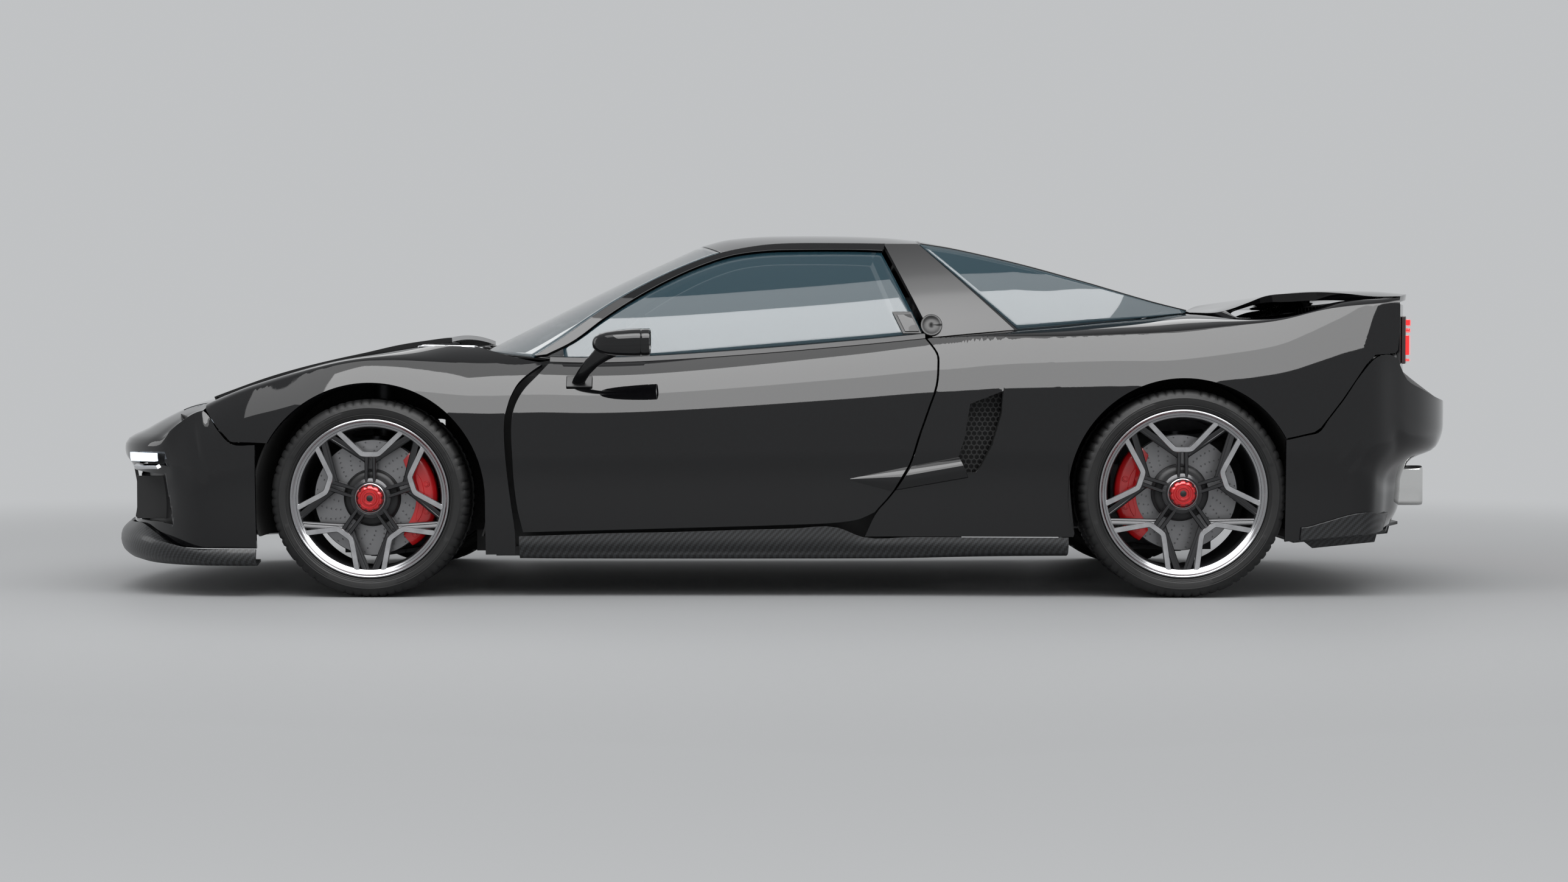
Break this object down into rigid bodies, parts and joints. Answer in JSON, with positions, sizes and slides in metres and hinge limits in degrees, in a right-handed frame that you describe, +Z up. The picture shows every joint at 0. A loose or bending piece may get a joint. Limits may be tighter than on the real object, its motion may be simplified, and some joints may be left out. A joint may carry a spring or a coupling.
{
  "type": "mid-engined sports coupe",
  "caption": "Low mid-engined two-seat coupe with opening doors, hood, rear hatch and trunk lid, steered front wheels and rolling wheels.",
  "frame": {"origin": "on the ground, centre of the bounding box", "axes": "+X to the tail, +Z up, the left side faces -Y"},
  "size_m": [4.4012, 2.156, 1.1612],
  "materials": {
    "body_paint": "gloss black paint",
    "chassis": "satin grey",
    "engine_block": "matt",
    "steel": "machined",
    "rim_alloy": "dark titanium paint with bright machined edges",
    "caliper_red": "gloss red",
    "tyre": "matt rubber",
    "black_plastic": "matt",
    "carbon": "clear-coated twill carbon",
    "glass": "blue-tinted",
    "hatch_glass": "gloss dark panel",
    "lamp_red": "gloss red lens",
    "lamp_clear": "clear lens, white light bar",
    "polished": "polished",
    "trim_leather": "dark grey"
  },
  "bodies": {
    "body": {"tub": "chassis", "engine": "engine_block", "suspension": "chassis", "rear_calipers": "caliper_red", "wheelhouses": "black_plastic", "front_fenders": "body_paint", "rear_quarters": "body_paint", "fixed_glass": "glass", "roof_panel": "body_paint", "roof_frame": "body_paint", "front_bumper": "body_paint", "rear_bumper": "body_paint", "tail_lamps": "lamp_red", "splitter": "carbon", "side_skirts": "carbon", "diffuser": "carbon", "exhaust": "polished", "headlamps": "lamp_clear", "grilles": "black_plastic", "seats": "trim_leather", "dashboard": "trim_leather", "wipers": "black_plastic"},
    "door_left": {"door_left": "body_paint", "door_glass_left": "glass", "mirror_left": "body_paint"},
    "door_right": {"door_right": "body_paint", "door_glass_right": "glass", "mirror_right": "body_paint"},
    "hood": {"hood": "body_paint"},
    "rear_hatch": {"rear_hatch": "hatch_glass"},
    "trunk_lid": {"trunk_lid": "body_paint"},
    "knuckle_left": {"knuckle_left": "chassis", "caliper_left": "caliper_red"},
    "knuckle_right": {"knuckle_right": "chassis", "caliper_right": "caliper_red"},
    "steering_wheel": {"steering_wheel": "trim_leather"},
    "wheel_front_left": {"hub_front_left": "steel", "rim_front_left": "rim_alloy", "tyre_front_left": "tyre"},
    "wheel_front_right": {"hub_front_right": "steel", "rim_front_right": "rim_alloy", "tyre_front_right": "tyre"},
    "wheel_rear_left": {"hub_rear_left": "steel", "rim_rear_left": "rim_alloy", "tyre_rear_left": "tyre"},
    "wheel_rear_right": {"hub_rear_right": "steel", "rim_rear_right": "rim_alloy", "tyre_rear_right": "tyre"}
  },
  "joints": [
    {"name": "door_left_hinge", "type": "hinge", "parent": "body", "child": "door_left", "pos_m": [-0.79, -0.87, 0.465], "axis": [0, 0, -1], "range_deg": [0, 60]},
    {"name": "door_right_hinge", "type": "hinge", "parent": "body", "child": "door_right", "pos_m": [-0.79, 0.87, 0.465], "axis": [0, 0, 1], "range_deg": [0, 60]},
    {"name": "hood_hinge", "type": "hinge", "parent": "body", "child": "hood", "pos_m": [-1.064, 0, 0.772], "axis": [0, 1, 0], "range_deg": [0, 50]},
    {"name": "rear_hatch_hinge", "type": "hinge", "parent": "body", "child": "rear_hatch", "pos_m": [0.445, 0, 1.134], "axis": [0, -1, 0], "range_deg": [0, 50]},
    {"name": "trunk_lid_hinge", "type": "hinge", "parent": "body", "child": "trunk_lid", "pos_m": [1.313, 0, 0.894], "axis": [0, -1, 0], "range_deg": [0, 50]},
    {"name": "steering_left", "type": "hinge", "parent": "body", "child": "knuckle_left", "pos_m": [-1.29, -0.7205, 0.309], "axis": [0, 0, 1], "range_deg": [-30, 30]},
    {"name": "steering_right", "type": "hinge", "parent": "body", "child": "knuckle_right", "pos_m": [-1.29, 0.7205, 0.309], "axis": [0, 0, 1], "range_deg": [-30, 30]},
    {"name": "steering_wheel_turn", "type": "hinge", "parent": "body", "child": "steering_wheel", "pos_m": [-0.4, -0.37, 0.712], "axis": [-0.9272, 0, -0.3746], "range_deg": [-420, 420]},
    {"name": "wheel_front_left_spin", "type": "hinge", "parent": "knuckle_left", "child": "wheel_front_left", "pos_m": [-1.29, -0.7825, 0.309], "axis": [0, 1, 0], "continuous": true},
    {"name": "wheel_front_right_spin", "type": "hinge", "parent": "knuckle_right", "child": "wheel_front_right", "pos_m": [-1.29, 0.7825, 0.309], "axis": [0, 1, 0], "continuous": true},
    {"name": "wheel_rear_left_spin", "type": "hinge", "parent": "body", "child": "wheel_rear_left", "pos_m": [1.24, -0.7775, 0.3245], "axis": [0, 1, 0], "continuous": true},
    {"name": "wheel_rear_right_spin", "type": "hinge", "parent": "body", "child": "wheel_rear_right", "pos_m": [1.24, 0.7775, 0.3245], "axis": [0, 1, 0], "continuous": true}
  ],
  "couplings": [
    {"joint": "steering_right", "follows": "steering_left", "ratio": 1},
    {"joint": "steering_wheel_turn", "follows": "steering_left", "ratio": -14}
  ]
}
